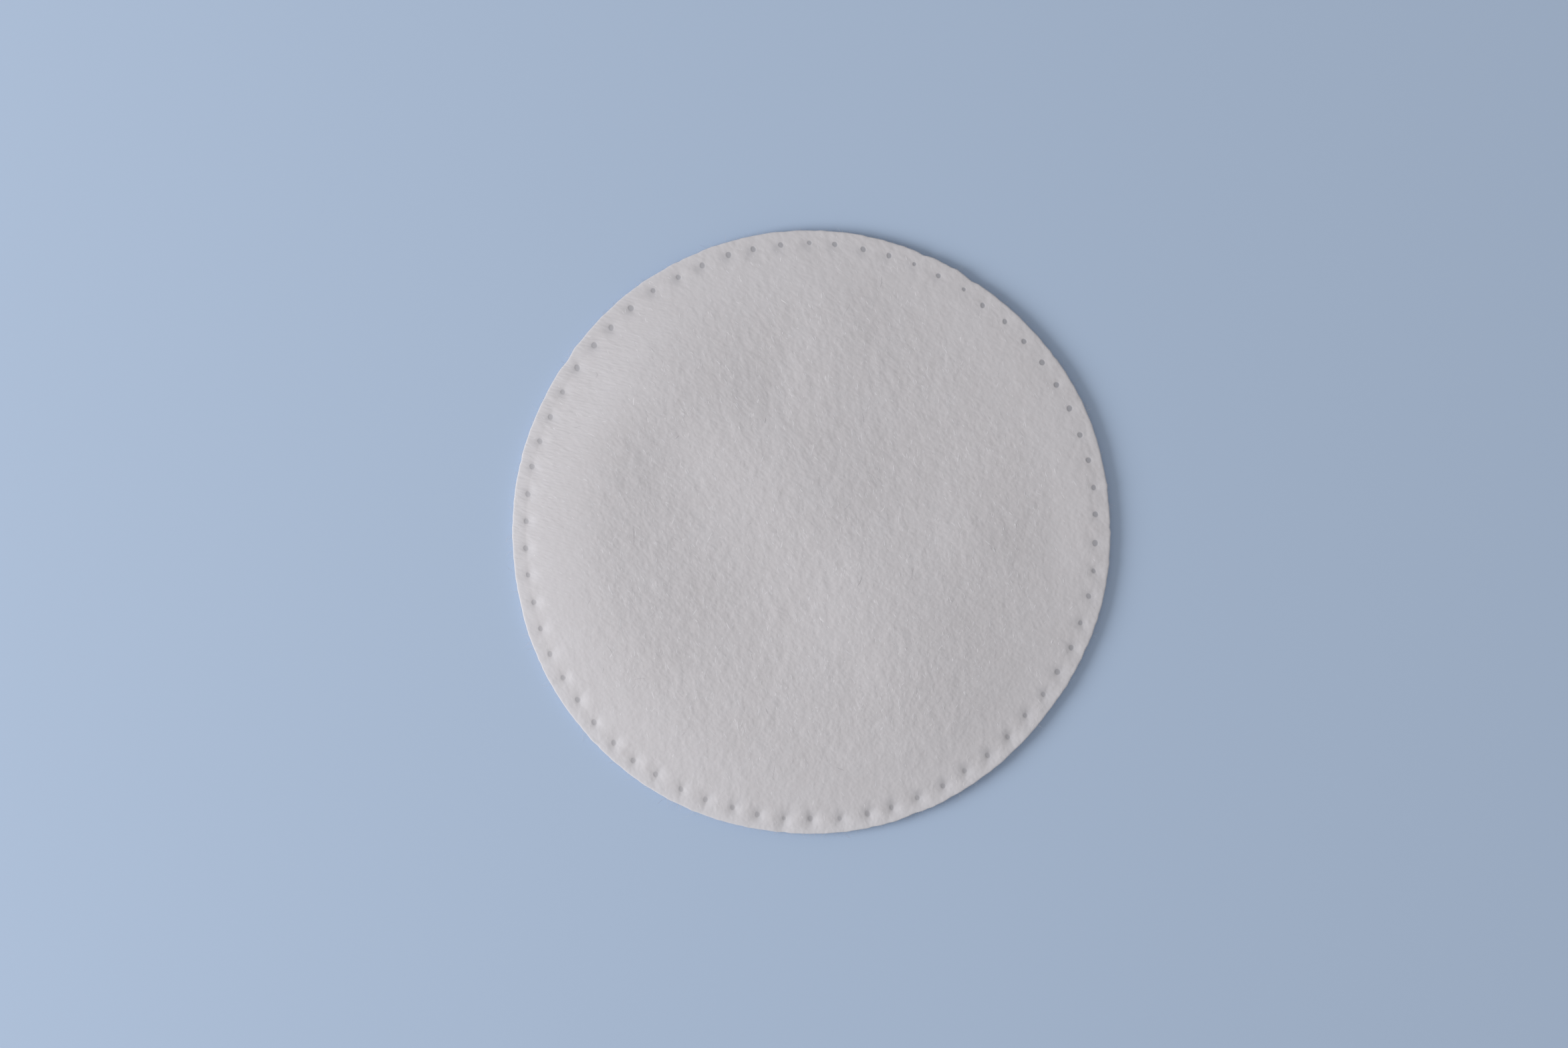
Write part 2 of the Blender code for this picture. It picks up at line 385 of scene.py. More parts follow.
def felt_field():
    """Noise smoothed by a Gaussian of a tuft's width and length, scaled to a spread of 1, on a tile."""
    noise = np.random.default_rng(FELT_SEED).normal(size=(FELT_CELLS, FELT_CELLS))
    cycles = np.fft.fftfreq(FELT_CELLS, FELT_TILE / FELT_CELLS)
    squared = (cycles[:, None] * TUFT_LENGTH) ** 2 + (cycles[None, :] * TUFT_WIDTH) ** 2
    smooth = np.fft.ifft2(np.fft.fft2(noise) * np.exp(-2 * math.pi**2 * squared)).real
    return smooth / smooth.std()


def sampled(field, across, along):
    """The tile's value at each point: the mean of its four nearest cells, weighted by closeness."""
    column, row = across / FELT_TILE * FELT_CELLS, along / FELT_TILE * FELT_CELLS
    left, low = np.floor(column).astype(int), np.floor(row).astype(int)
    value = 0
    for right, high in ((0, 0), (1, 0), (0, 1), (1, 1)):
        weight = (1 - abs(column - left - right)) * (1 - abs(row - low - high))
        value = value + weight * field[(low + high) % FELT_CELLS, (left + right) % FELT_CELLS]
    return value


def shoulder_share(x, y):
    """How far the fibres are combed out over the left shoulder: 0 on the face, 1 near the rim there."""
    radius, angle = np.hypot(x, y), np.arctan2(y, x)
    outward = eased((radius - SHOULDER_COMB_START) / SHOULDER_COMB_FADE)
    facing = np.cos(angle - SHOULDER_COMB_MIDDLE) - SHOULDER_COMB_LEAST
    return outward * eased(facing / (1 - SHOULDER_COMB_LEAST))


def comb_angle(x, y):
    """Direction of the fibres: a lean that changes evenly over the face, turned at the left shoulder."""
    lean = COMB_ANGLE + COMB_TURN_UP * y + COMB_TURN_ACROSS * x
    return lean + SHOULDER_COMB_TURN * shoulder_share(x, y)


def combed(x, y, turn=0.0):
    """Distance across and along the fibres. Their lean changes with X and Y, so across is X plus the sum
    of the lean's slope up to Y: a straight term, and terms in Y squared and in X times Y."""
    lean = COMB_ANGLE + turn - math.pi / 2
    curving = COMB_TURN_UP * y**2 / 2 + COMB_TURN_ACROSS * x * y
    across = x + math.tan(lean) * y + curving / math.cos(lean) ** 2
    return across * math.cos(lean), y / math.cos(lean)


def nap(x, y, felt):
    """Height of the felted nap, in spreads: one combed field on the face, another over the shoulder."""
    face = sampled(felt, *combed(x, y))
    side = sampled(felt.T[::-1], *combed(x, y, SHOULDER_COMB_TURN))
    part = shoulder_share(x, y)
    return face * (1 - part) + side * part


def cut_unevenness(angle, sizes):
    """How far the cut edge stands out or back: a bell curve for each mark, and small random waves."""
    out = np.zeros_like(angle)
    for place, height, width in CUT_MARKS:
        along = wrapped(angle - math.radians(place)) * sizes.diameter / 2
        out += height * bell(along, width)
    steps = np.random.default_rng(EDGE_SEED).normal(0, EDGE_UNEVENNESS, EDGE_UNEVENNESS_STEPS)
    places = np.arange(EDGE_UNEVENNESS_STEPS) * FULL_TURN / EDGE_UNEVENNESS_STEPS
    return out + np.interp(angle % FULL_TURN, places, steps, period=FULL_TURN)


def stretched(radius, angle, sizes):
    """X and Y of a point of the round blank once it is stretched and cut: the radius grows by a sum of
    cosine waves, the crimp ring sits off the middle, and the edge has its marks."""
    waves = sum(high * np.cos(lobes * (angle - math.radians(lobe))) for lobes, high, lobe in OUTLINE_WAVES)
    outward = eased((radius - crimp_radius(sizes)) / sizes.crimp_inset)
    reach = radius * (1 + 2 * waves / sizes.diameter) + outward * cut_unevenness(angle, sizes)
    shift = CRIMP_SHIFT * (1 - outward)
    x = reach * np.cos(angle) + shift * math.cos(CRIMP_SHIFT_ANGLE)
    y = reach * np.sin(angle) + shift * math.sin(CRIMP_SHIFT_ANGLE)
    return x, y


def blank_middle(sizes):
    """Where the blank's middle lies, so that the stretched outline's box is centred on X = Y = 0."""
    angle = np.arange(0, FULL_TURN, OUTLINE_STEP)
    x, y = stretched(np.full_like(angle, sizes.diameter / 2), angle, sizes)
    return -(x.min() + x.max()) / 2, -(y.min() + y.max()) / 2


def pit_places(sizes):
    """Each pit's radius, angle, size and depth: even steps round the crimp line, crowded and spread by a
    wave of two lobes, with small chances."""
    chance = np.random.default_rng(PIT_SEED)
    count = sizes.pit_count
    radius = crimp_radius(sizes) + chance.normal(0, PIT_WANDER, count)
    step = FULL_TURN / count
    angle = FIRST_PIT_ANGLE + step * np.arange(count)
    drift = PIT_DRIFT * np.cos(2 * (angle - PIT_DRIFT_ANGLE)) + chance.normal(0, PIT_WANDER, count)
    angle += drift / crimp_radius(sizes)
    size = 1 + chance.normal(0, PIT_SIZE_SPREAD, count).clip(-PIT_SIZE_MOST, PIT_SIZE_MOST)
    size[list(SMALL_PITS)] = SMALL_PIT_SIZE
    depth = 1 + chance.normal(0, PIT_DEPTH_SPREAD, count).clip(-PIT_DEPTH_MOST, PIT_DEPTH_MOST)
    return radius, angle, size, depth


def pit_edge(number, way, sizes):
    """Radius of a pit's floor in a direction: an oval, long along the combing, with two small waves of its
    own. The direction turns from the way along the rim to the way inwards."""
    angle, size = (values[number] for values in pit_places(sizes)[1:3])
    long = PIT_LENGTHENING * np.cos(2 * (way + angle + math.pi / 2 - PIT_LONG_ANGLE))
    chance = np.random.default_rng(PIT_SHAPE_SEED).uniform(0, FULL_TURN, (2, sizes.pit_count))
    oval = np.cos(2 * (way - chance[0][number]))
    knobbly = PIT_KNOBBLINESS * np.cos(3 * (way - chance[1][number]))
    own = PIT_OUT_OF_ROUND * (oval + knobbly) / (1 + PIT_KNOBBLINESS)
    return size * sizes.pit_diameter / 2 * (1 + long + own)


def nearest_pit(radius, angle, sizes):
    """The nearest pit's number, and the way to a point from its middle: along the rim and inwards."""
    step = FULL_TURN / sizes.pit_count
    number = np.round((angle - FIRST_PIT_ANGLE) / step).astype(int) % sizes.pit_count
    pit_radius, pit_angle = pit_places(sizes)[:2]
    along = wrapped(angle - pit_angle[number]) * crimp_radius(sizes)
    inward = pit_radius[number] - radius
    return number, along, inward


def beside_pit(angle, along, inward):
    """The way from a pit's middle, turned from along the rim and inwards to rightwards and upwards."""
    rightward = -np.sin(angle) * along - np.cos(angle) * inward
    return rightward, np.cos(angle) * along - np.sin(angle) * inward


def lit_side(angle, along, inward):
    """How far a point lies on the side of its pit that catches the light: to the right, and outwards at
    the top and the bottom of the pad."""
    rightward, upward = beside_pit(angle, along, inward)
    return rightward + LIT_SIDE_LEAN * np.sin(angle) * upward


def packed_shade_share(angle, along, inward):
    """How far the colour beside a pit is darkened, as painted shade of its dimple and as fibre packed
    there: a bell curve on the inner side, strongest at the upper left of the pad, where it lies more to the
    left, and at the lower right."""
    rightward, upward = beside_pit(angle, along, inward)
    shift = PACKED_SHADE_SHIFT * np.sin(angle)
    away = np.hypot(rightward + np.maximum(shift, 0), upward + shift)
    strength = (1 + np.cos(2 * (angle - PACKED_SHADE_MOST))) / 2
    return PACKED_SHADE_SHARE * strength * bell(away, PACKED_SHADE_REACH)


def looseness(angle):
    """How loosely the rim is pressed, and how far it lies on the lamp's side: 0 at the upper right, 1 at the
    lower left.
    """
    return (1 + np.cos(angle - LOOSE_LIT_ANGLE)) / 2


def rim_share(radius, sizes):
    """How far out a point lies in the band outside the crimps: 0 at the crimp line, 1 at the edge."""
    return np.clip((radius - crimp_radius(sizes)) / (sizes.crimp_inset - sizes.edge_rounding), 0, 1)


def dimple_swell(angle):
    """How deep the dimples are: 1 where they are deepest, and less towards the other side of the pad."""
    return DIMPLE_LEAST + (1 - DIMPLE_LEAST) * (1 + np.cos(angle - DIMPLE_DEEPEST)) / 2


def outer_share(radius):
    """How far a point is from the face towards the rim: 0 on the face, 1 where the fade ends."""
    return eased((radius - RIM_START) / RIM_FADE)


def rough_share(radius, smoothness):
    """How rough the brushed surface is: 1 on the face, and less by the smoothness near the rim."""
    return 1 - smoothness * outer_share(radius)


def painted_light_share(radius, angle, sizes):
    """How far the colour is painted paler in place of light: a painted glow a little towards the rim,
    painted light more in the loose band on the lamp's side, and a painted highlight on each pit's lit side
    as a bell curve of the distance from it."""
    along, inward = nearest_pit(radius, angle, sizes)[1:]
    # Painted highlight on the lit side of each pit's dimple
    beside = bell(np.hypot(along, inward), PIT_HIGHLIGHT_REACH)
    beside *= eased(lit_side(angle, along, inward) / PIT_HIGHLIGHT_START)
    # Painted light: paler on the lamp's side of the rim, and a painted glow towards the rim all round
    outside = rim_share(radius, sizes) * looseness(angle)
    paleness = outside * LIT_RIM_PALENESS + outer_share(radius) * RIM_GLOW_PALENESS
    return paleness + dimple_swell(angle) * beside * PIT_HIGHLIGHT_PALENESS


def pillow_height(radius, angle, sizes):
    """Height of the smooth face: it rises from the crimp line as 1 less a power of what is left of the
    shoulder, which is wider on the +X side, and outside the line it droops, most where it is loose."""
    width = sizes.shoulder_width + sizes.shoulder_skew * np.cos(angle)
    inward = np.clip((crimp_radius(sizes) - radius) / width, 0, 1)
    pillow = (sizes.middle_thickness - sizes.rim_thickness) * (1 - (1 - inward) ** SHOULDER_FULLNESS)
    droop = RIM_DROOP * (DROOP_LEAST + (1 - DROOP_LEAST) * looseness(angle))
    return sizes.rim_thickness + pillow - droop * rim_share(radius, sizes)


def hill_height(x, y, radius, sizes):
    """The sum of the hills and hollows, each a bell curve, dying away towards the crimp line."""
    lift = np.zeros_like(x)
    for across, up, spread, height in HILLS:
        lift += height * np.exp(-((x - across) ** 2 + (y - up) ** 2) / (2 * spread**2))
    return lift * eased((crimp_radius(sizes) - radius) / HILL_MARGIN)


def face_surface(radius, angle, sizes, felt):
    """Height of the finished face, and how dark its colour is painted, at points of the blank: pillow, hills
    and nap, less a bell curve round each pit, less the crease, less the pit. The bell curves are deeper on
    their lit side than on the other, and deepest near the bottom of the pad. The darkness is the pressed
    fibre of the pits' floors with painted shade on it, fading on the loose lit side, and painted shade
    beside the pits."""
    x, y = stretched(radius, angle, sizes)
    height = pillow_height(radius, angle, sizes) + hill_height(x, y, radius, sizes)
    height += sizes.felt_relief * rough_share(radius, RIM_SMOOTHNESS) * nap(x, y, felt)

    number, along, inward = nearest_pit(radius, angle, sizes)
    depth = pit_places(sizes)[3][number]
    away = np.hypot(along, inward)
    lean = 1 + DIMPLE_LEAN * lit_side(angle, along, inward) / np.hypot(away, DIMPLE_TURN)
    drawn = sizes.dimple_depth * depth * dimple_swell(angle)
    height -= drawn * lean * bell(away, sizes.dimple_radius)
    groove = CREASE_DEPTH * (number == CREASE_PIT) * bell(along, CREASE_WIDTH)
    height -= groove * eased(-2 * inward / sizes.crimp_inset)

    edge = pit_edge(number, np.arctan2(inward, along), sizes)
    pressed = 1 - eased((away - edge) / PIT_WALL)
    height -= sizes.pit_depth * depth * pressed
    # Painted shade of the dimple beside the pit, with some packed fibre
    packed_shade = (1 - pressed) * packed_shade_share(angle, along, inward)
    # Darkness of the colour: pressed fibre with painted shade on the pits' floors, fading on the loose lit
    # side, plus painted shade beside the pits
    return height, pressed * (1 - LOOSE_LIT_PIT_FADING * looseness(angle)) + packed_shade


def disc_grid(rings, radius):
    """Polar places of a square grid bent to a disc: each square ring becomes a circle of even steps."""
    side = np.arange(-rings, rings + 1)
    column, row = np.meshgrid(side, side)
    ring = np.maximum(abs(column), abs(row))
    part = 1 / np.maximum(ring, 1)
    quarter = [
        (column == ring) & (row > -ring),
        (row == ring) & (column < ring),
        (column == -ring) & (row < ring),
    ]
    turns = [row * part, 2 - column * part, 4 - row * part]
    turn = np.select(quarter, turns, 6 + column * part)
    return radius * ring / rings, turn * math.pi / 4


def crimp_grid(sizes):
    """Polar places of the band round the crimps, from its inner row outwards. Round each pit the square
    rings of a grid are drawn to circles: the pit's floor, its wall, and wider rings out to the band's
    edges, where they are square again."""
    pits = sizes.pit_count
    line = np.arange(-PIT_STEPS, PIT_STEPS + 1) / PIT_STEPS
    number = np.repeat(np.arange(pits), 2 * PIT_STEPS)
    u, v, number = np.broadcast_arrays(np.tile(line[:-1], pits), line[::-1][:, None], number)
    ring = np.maximum(abs(u), abs(v))
    edge = pit_edge(number, np.arctan2(v, u), sizes)
    floor_ring, wall_ring = FLOOR_STEPS / PIT_STEPS, (FLOOR_STEPS + 1) / PIT_STEPS
    half_step = math.pi * crimp_radius(sizes) / pits
    half_rim = sizes.crimp_inset - sizes.edge_rounding
    outer = (ring - wall_ring) / (1 - wall_ring)

    def reach(half):
        on_floor = edge * ring / floor_ring
        on_wall = edge + PIT_WALL * (ring - floor_ring) / (wall_ring - floor_ring)
        spread = edge + PIT_WALL
        beyond = spread + (half - spread) * ((1 - RING_CROWDING) * outer + RING_CROWDING * outer**2)
        return np.where(ring <= floor_ring, on_floor, np.where(ring <= wall_ring, on_wall, beyond))

    squared = eased(outer)
    size = (1 - squared) / np.maximum(np.hypot(u, v), 1e-9) + squared / np.maximum(ring, 1e-9)
    along = reach(half_step) * u * size
    inward = np.where(v > 0, reach(half_step), reach(half_rim)) * v * size
    pit_radius, pit_angle = (values[number] for values in pit_places(sizes)[:2])
    even_angle = FIRST_PIT_ANGLE + FULL_TURN * number / pits
    centre_angle = even_angle + (pit_angle - even_angle) * (1 - squared)
    centre_radius = crimp_radius(sizes) + (pit_radius - crimp_radius(sizes)) * (1 - squared)
    return centre_radius - inward, centre_angle + along / crimp_radius(sizes)


class Shell:
    """Gathers grids of points and the faces between them, for one closed surface."""

    def __init__(self):
        self.points, self.quads, self.triangles, self.size = [], [], [], 0

    def add(self, x, y, z):
        """Adds a grid of points. Returns the numbers of its points, in the same grid."""
        x, y, z = np.broadcast_arrays(x, y, z)
        self.points.append(np.stack([x, y, z], axis=-1).reshape(-1, 3))
        numbers = self.size + np.arange(x.size).reshape(x.shape)
        self.size += x.size
        return numbers

    def ring_faces(self, rows):
        """Joins each row, a closed ring, to the next."""
        ahead = np.roll(rows, -1, axis=1)
        faces = np.stack([rows[:-1], rows[1:], ahead[1:], ahead[:-1]], axis=-1)
        self.quads.append(faces.reshape(-1, 4))

    def disc_faces(self, grid, upwards):
        """Joins the points of a square grid, facing up or down."""
        corners = [grid[:-1, :-1], grid[:-1, 1:], grid[1:, 1:], grid[1:, :-1]]
        self.quads.append(np.stack(corners if upwards else corners[::-1], axis=-1).reshape(-1, 4))

    def join(self, first, second):
        """Joins two closed rings, one of which has a whole number of times the other's points."""
        many, few = (first, second) if len(first) > len(second) else (second, first)
        times = len(many) // len(few)
        step = np.arange(times)[None, :]
        start = times * np.arange(len(few))[:, None]
        near = many[start + step]
        far = many[(start + step + 1) % len(many)]
        late = (step >= times // 2).astype(int)
        tip = few[(np.arange(len(few))[:, None] + late) % len(few)]
        middle = many[start[:, 0] + times // 2]
        for one, other, last in ((near, tip, far), (middle, few, np.roll(few, -1))):
            corners = [one, other, last] if many is first else [other, one, last]
            self.triangles.append(np.stack(corners, axis=-1).reshape(-1, 3))


def new_mesh(name, points, faces):
    """A mesh from an array of points and, for each number of corners, an array of faces."""
    mesh = bpy.data.meshes.new(name)
    corners = np.concatenate([group.ravel() for group in faces])
    sides = np.concatenate([np.full(len(group), group.shape[1]) for group in faces])
    mesh.vertices.add(len(points))
    mesh.loops.add(len(corners))
    mesh.polygons.add(len(sides))
    mesh.vertices.foreach_set("co", points.astype(np.float32).ravel())
    mesh.loops.foreach_set("vertex_index", corners.astype(np.int32))
    mesh.polygons.foreach_set("loop_start", (np.cumsum(sides) - sides).astype(np.int32))
    mesh.update(calc_edges=True)
    mesh.shade_smooth()
    return mesh


def add_values(mesh, name, values):
    """Stores one number, or one vector, for each point of a mesh."""
    vector = values.ndim == 2
    kind, key = ("FLOAT_VECTOR", "vector") if vector else ("FLOAT", "value")
    mesh.attributes.new(name, kind, "POINT").data.foreach_set(key, values.astype(np.float32).ravel())


def add_map(mesh, corners):
    """Stores the map that a bake goes through: one place from 0 to 1 for each corner of each face."""
    layer = mesh.uv_layers.new(name="OFBake")
    layer.data.foreach_set("uv", corners.astype(np.float32).ravel())


def placed(name, data):
    """An object that shows a mesh, a lamp or a camera in the scene."""
    item = bpy.data.objects.new(name, data)
    bpy.context.scene.collection.objects.link(item)
    return item


def show_piece(name, mesh, material):
    """Puts a finished piece in the scene, riding on the pad's body, in the cotton's slot."""
    piece = placed(name, mesh)
    mesh.materials.append(material)
    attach(piece, "root")
    return piece


def edge_profile(sizes, top):
    """Radius and height of each row down the cut edge: a quarter round, the wall, and a quarter round."""
    rounding = sizes.edge_rounding
    quarter = np.arange(1, EDGE_STEPS + 1) / EDGE_STEPS
    wall = np.arange(1, WALL_STEPS + 1) / WALL_STEPS
    turn = np.concatenate([quarter, 0 * wall + 1, quarter + 1])[:, None] * math.pi / 2
    drop = np.concatenate([0 * quarter, wall, 0 * quarter + 1])[:, None]
    radius = sizes.diameter / 2 - rounding + rounding * np.sin(turn)
    return radius, top - rounding + (2 * rounding - top) * drop + rounding * np.cos(turn)


def build_web(sizes, felt):
    """The whole web as one closed mesh, from the middle of the face, over the rim, to the underside."""
    shell = Shell()
    middle_x, middle_y = blank_middle(sizes)
    places = []

    def lay(radius, angle, height, flat=0, unrolled=None):
        """Adds points of the blank in their stretched place, and notes what the finish reads there: X, Y,
        how dark they are painted for pressed fibre and painted shade, their angle, their radius, and their
        distance out along the surface."""
        x, y = stretched(radius, angle, sizes)
        unrolled = radius if unrolled is None else unrolled
        values = np.broadcast_arrays(x, y, flat, angle, radius, unrolled, height)
        places.append(np.stack([value.ravel() for value in values[:-1]]))
        return shell.add(values[0] + middle_x, values[1] + middle_y, values[-1])

    step = FULL_TURN / sizes.pit_count
    start = FIRST_PIT_ANGLE - step / 2
    band_radius, band_angle = crimp_grid(sizes)
    columns = band_angle.shape[1]

    disc_radius, disc_turn = disc_grid(FACE_RINGS, crimp_radius(sizes) * (1 - step / 2) - JOIN_WIDTH)
    disc_angle = disc_turn + start
    disc = lay(disc_radius, disc_angle, *face_surface(disc_radius, disc_angle, sizes, felt))
    band = lay(band_radius, band_angle, *face_surface(band_radius, band_angle, sizes, felt))
    shell.disc_faces(disc, True)
    shell.join(outer_ring(disc, disc_turn), band[0])
    shell.ring_faces(band)

    edge_angle = start + np.arange(columns // 2)[None, :] * FULL_TURN / (columns // 2)
    bend = np.full_like(edge_angle, sizes.diameter / 2 - sizes.edge_rounding)
    top = face_surface(bend, edge_angle, sizes, felt)[0][0]
    edge_radius, edge_height = edge_profile(sizes, top)
    steps = np.hypot(
        np.diff(edge_radius, axis=0, prepend=bend[:1, :1]), np.diff(edge_height, axis=0, prepend=top[None])
    )
    edge = lay(edge_radius, edge_angle, edge_height, 0, bend + np.cumsum(steps, axis=0))
    shell.join(band[-1], edge[0])
    shell.ring_faces(edge)

    outward = np.array(UNDERSIDE_ROWS)[:, None]
    along = np.cos((edge_angle - FIRST_PIT_ANGLE) * sizes.pit_count) * 0.5 + 0.5
    dent = STUD_DENT * along**STUD_SHARPNESS * bell(outward, STUD_REACH)
    under = lay(crimp_radius(sizes) + outward, edge_angle, dent)
    base_radius, base_turn = disc_grid(UNDERSIDE_RINGS, crimp_radius(sizes) - UNDERSIDE_INSET)
    base = lay(base_radius, base_turn + start, 0)
    shell.ring_faces(np.stack([edge[-1], under[0]]))
    shell.ring_faces(under)
    shell.join(under[-1], outer_ring(base, base_turn))
    shell.disc_faces(base, False)

    faces = [np.concatenate(shell.quads), np.concatenate(shell.triangles)]
    mesh = new_mesh("cotton_web", np.concatenate(shell.points), faces)
    x, y, pressed, angle, radius, unrolled = np.concatenate(places, axis=1)
    zero = np.zeros_like(x)
    side = shoulder_share(x, y)
    roughness = rough_share(radius, STREAK_SMOOTHNESS) * (1 + SHOULDER_ROUGHENING * side)
    values = {
        "pressed": pressed,
        "combed": np.stack([*combed(x, y), zero], axis=1),
        "side_combed": np.stack([*combed(x, y, SHOULDER_COMB_TURN), zero], axis=1),
        "side_share": side,
        # Painted light: how far the colour is painted paler
        "painted_light": painted_light_share(radius, angle, sizes),
        "brushed": roughness * (1 - pressed),
    }
    for name, value in values.items():
        add_values(mesh, name, value)
    add_disc_map(mesh, faces, angle, radius, unrolled, under.min())
    return mesh


def add_disc_map(mesh, faces, angle, radius, unrolled, first_under):
    """A map for baking: the face and the edge are unrolled to one disc, by angle and by distance out along
    the surface, and the underside fills a smaller disc, mirrored, as it is seen from below."""
    corners = np.concatenate([group.ravel() for group in faces])
    last = np.concatenate([np.repeat(group.max(axis=1), group.shape[1]) for group in faces])
    under = last >= first_under
    angle, radius, unrolled = angle[corners], radius[corners], unrolled[corners]
    outward = np.where(
        under, -UNDERSIDE_DISC[1] * radius / radius.max(), FACE_DISC[1] * unrolled / unrolled.max()
    )
    middle = np.where(under, UNDERSIDE_DISC[0], FACE_DISC[0])
    across = middle + outward * np.cos(angle)
    up = middle + abs(outward) * np.sin(angle)
    add_map(mesh, np.stack([across, up], axis=1))


def outer_ring(grid, turn):
    """Numbers of the points on the rim of a disc grid, in order round it."""
    rim = np.ones(grid.shape, bool)
    rim[1:-1, 1:-1] = False
    order = np.argsort(turn[rim] % FULL_TURN, kind="stable")
    return grid[rim][order]


def walked(x, y, heading, bend, length, steps):
    """Midlines of fibres, as rows of X and Y: each is walked in equal steps, whose heading is the combing
    direction there, plus the fibre's own offset, plus a steady bend."""
    xs, ys = [x], [y]
    for step in range(steps):
        way = comb_angle(xs[-1], ys[-1]) + heading + bend * (step / steps - 0.5)
        xs.append(xs[-1] + np.cos(way) * length / steps)
        ys.append(ys[-1] + np.sin(way) * length / steps)
    return np.stack(xs, axis=1), np.stack(ys, axis=1)


def tubes(name, path, thickness, tone, flatness=1.0):
    """A mesh of thin three-sided tubes along paths, each closed to a point at both ends, with its height a
    share of its width. Each has a tone of its own, and a cell of the map for baking."""
    count, stops = path.shape[:2]
    along = np.gradient(path, axis=1)
    along /= np.linalg.norm(along, axis=2, keepdims=True)
    side = np.cross(along, [0.0, 0.0, 1.0])
    side /= np.maximum(np.linalg.norm(side, axis=2, keepdims=True), 1e-9)
    up = np.cross(side, along)
    turn = np.radians([90, 210, 330])[None, None, :, None]
    ring = np.cos(turn) * side[:, :, None] + np.sin(turn) * up[:, :, None] * flatness
    rings = path[:, :, None] + ring * thickness[:, :, None, None] / 2
    body = rings[:, 1:-1].reshape(count, -1, 3)
    points = np.concatenate([path[:, :1], body, path[:, -1:]], axis=1)

    each = points.shape[1]
    inner = 1 + 3 * np.arange(stops - 2)[:, None] + np.arange(3)
    ahead = np.roll(inner, -1, axis=1)
    quads = np.stack([inner[:-1], inner[1:], ahead[1:], ahead[:-1]], axis=-1).reshape(-1, 4)
    first, last = np.zeros(3, int), np.full(3, each - 1)
    start = np.stack([first, inner[0], ahead[0]], axis=-1)
    end = np.stack([last, ahead[-1], inner[-1]], axis=-1)
    offset = (np.arange(count) * each)[:, None, None]
    quads = (quads[None] + offset).reshape(-1, 4)
    triangles = (np.concatenate([start, end])[None] + offset).reshape(-1, 3)
    mesh = new_mesh(name, points.reshape(-1, 3), [quads, triangles])
    if flatness < 1:
        mesh.shade_flat()
    add_values(mesh, "tone", np.repeat(tone, each))
    add_cell_map(mesh, count, stops)
    return mesh


def add_cell_map(mesh, count, stops):
    """A map for baking: each tube is slit and laid flat in its own cell, in rows of upright cells. Its
    three sides go across the cell and its length goes up."""
    left = np.arange(3) / 3 + np.zeros((stops - 2, 1))
    right, tip = left + 1 / 3, left[:1] + 1 / 6
    level = np.arange(1, stops - 1)[:, None] / (stops - 1) + np.zeros(3)
    low, high = level[:-1], level[1:]
    sides = [(left[:-1], low), (left[1:], high), (right[1:], high), (right[:-1], low)]
    start = [(tip, 0 * tip), (left[:1], level[:1]), (right[:1], level[:1])]
    end = [(tip, 0 * tip + 1), (right[-1:], level[-1:]), (left[-1:], level[-1:])]

    columns = math.ceil(2 * math.sqrt(count))
    rows = math.ceil(count / columns)
    number = np.arange(count)[:, None]
    cell = np.stack([number % columns, number // columns], axis=-1) + CELL_MARGIN

    def laid(*faces):
        part = np.concatenate([np.array(face).transpose(2, 3, 0, 1).reshape(-1, 2) for face in faces])
        return ((cell + part * (1 - 2 * CELL_MARGIN)) / [columns, rows]).reshape(-1, 2)

    add_map(mesh, np.concatenate([laid(sides), laid(start, end)]))


